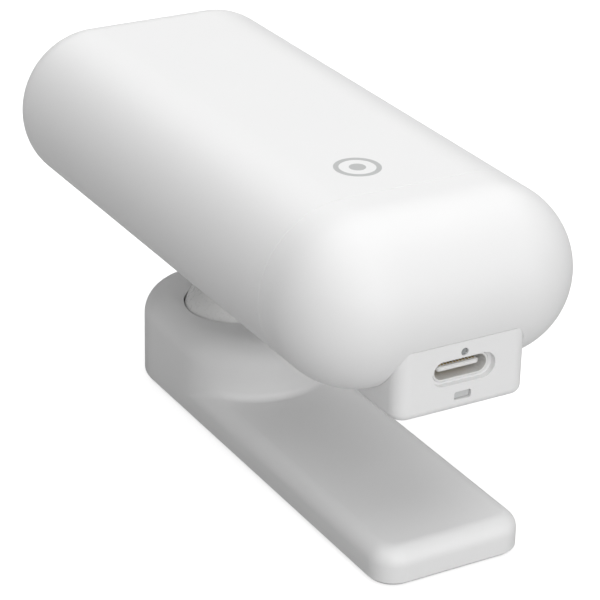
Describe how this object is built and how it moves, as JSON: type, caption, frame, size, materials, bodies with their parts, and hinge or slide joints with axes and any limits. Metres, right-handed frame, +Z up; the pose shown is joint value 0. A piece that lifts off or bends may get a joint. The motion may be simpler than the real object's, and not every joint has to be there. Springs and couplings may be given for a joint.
{
  "type": "wireless room sensor on ball-jointed foot",
  "caption": "Pill-shaped USB-powered wireless sensor that turns and tilts on a ball joint above a narrow flat foot.",
  "frame": {"origin": "on the surface the foot stands on, under the middle of the head's length and width", "axes": "+Z up, +Y along the head from the USB end (the nose) to the flat tail, +X across it"},
  "size_m": [0.046, 0.1, 0.0526],
  "materials": {
    "white_abs": "fine moulded satin, white",
    "inner_abs": "plain moulded, natural white",
    "white_acetal": "smooth moulded, white",
    "grey_abs": "moulded grey",
    "clear_pc": "clear moulded rod",
    "led_body": "white LED package",
    "led_phosphor": "gelled lens",
    "zinc_steel": "zinc plated",
    "nickel_steel": "nickel plated sheet",
    "gold_contact": "gold plated",
    "connector_plastic": "pale liquid-crystal polymer",
    "black_nylon": "black moulded nylon",
    "board_laminate": "solder mask over glass epoxy",
    "ferrite": "moulded ferrite",
    "capacitor_can": "drawn can",
    "chip_epoxy": "black epoxy",
    "spacer_nylon": "natural nylon",
    "grey_ink": "pad-printed grey ink",
    "silicone": "moulded silicone",
    "silicone_pad": "matt anti-slip sheet"
  },
  "bodies": {
    "foot": {"foot_shell": "white_abs", "pressure_ring": "silicone", "cup_retainer": "inner_abs", "retainer_screws": "zinc_steel", "ballast_bar": "zinc_steel", "base_cover": "white_abs", "cover_screws": "zinc_steel", "base_pad": "silicone_pad"},
    "cup": {"grip_cup": "inner_abs"},
    "ball": {"ball_stud": "white_acetal", "swivel_washer": "zinc_steel", "swivel_screw": "zinc_steel"},
    "head": {"main_shell": "white_abs", "end_cap": "white_abs", "port_block": "white_abs", "keel": "white_abs", "keel_screws": "zinc_steel", "block_screws": "zinc_steel", "usb_shell": "nickel_steel", "usb_tongue": "connector_plastic", "usb_contacts": "gold_contact", "light_pipe": "clear_pc", "status_led": "led_body", "led_lens": "led_phosphor", "switch_body": "black_nylon", "port_board": "board_laminate", "link_header": "black_nylon", "tray": "inner_abs", "main_board": "board_laminate", "board_screws": "zinc_steel", "wireless_module": "board_laminate", "module_can": "nickel_steel", "power_coil": "ferrite", "capacitors": "capacitor_can", "board_chips": "chip_epoxy", "sensor_spacers": "spacer_nylon", "spacer_screws": "zinc_steel", "sensor_screws": "zinc_steel", "sensor_board": "board_laminate", "sensor_header": "black_nylon", "sensor_chip": "chip_epoxy", "antenna_patches": "gold_contact", "top_mark": "grey_ink"},
    "button": {"reset_button": "grey_abs", "switch_plunger": "black_nylon"}
  },
  "joints": [
    {"name": "ball_pan", "type": "hinge", "parent": "foot", "child": "cup", "pos_m": [0, 0.015, 0.0122], "axis": [0, 0, 1], "range_deg": [-90, 90]},
    {"name": "ball_tilt", "type": "hinge", "parent": "cup", "child": "ball", "pos_m": [0, 0.015, 0.0122], "axis": [-1, 0, 0], "range_deg": [-15, 40]},
    {"name": "head_turn", "type": "hinge", "parent": "ball", "child": "head", "pos_m": [0, 0.015, 0.0257], "axis": [0, 0, 1], "continuous": true},
    {"name": "reset_press", "type": "slide", "parent": "head", "child": "button", "axis": [0, 1, 0], "range_m": [0, 0.00035], "stiffness_N_per_m": 1500, "springref_m": -0.0003}
  ]
}
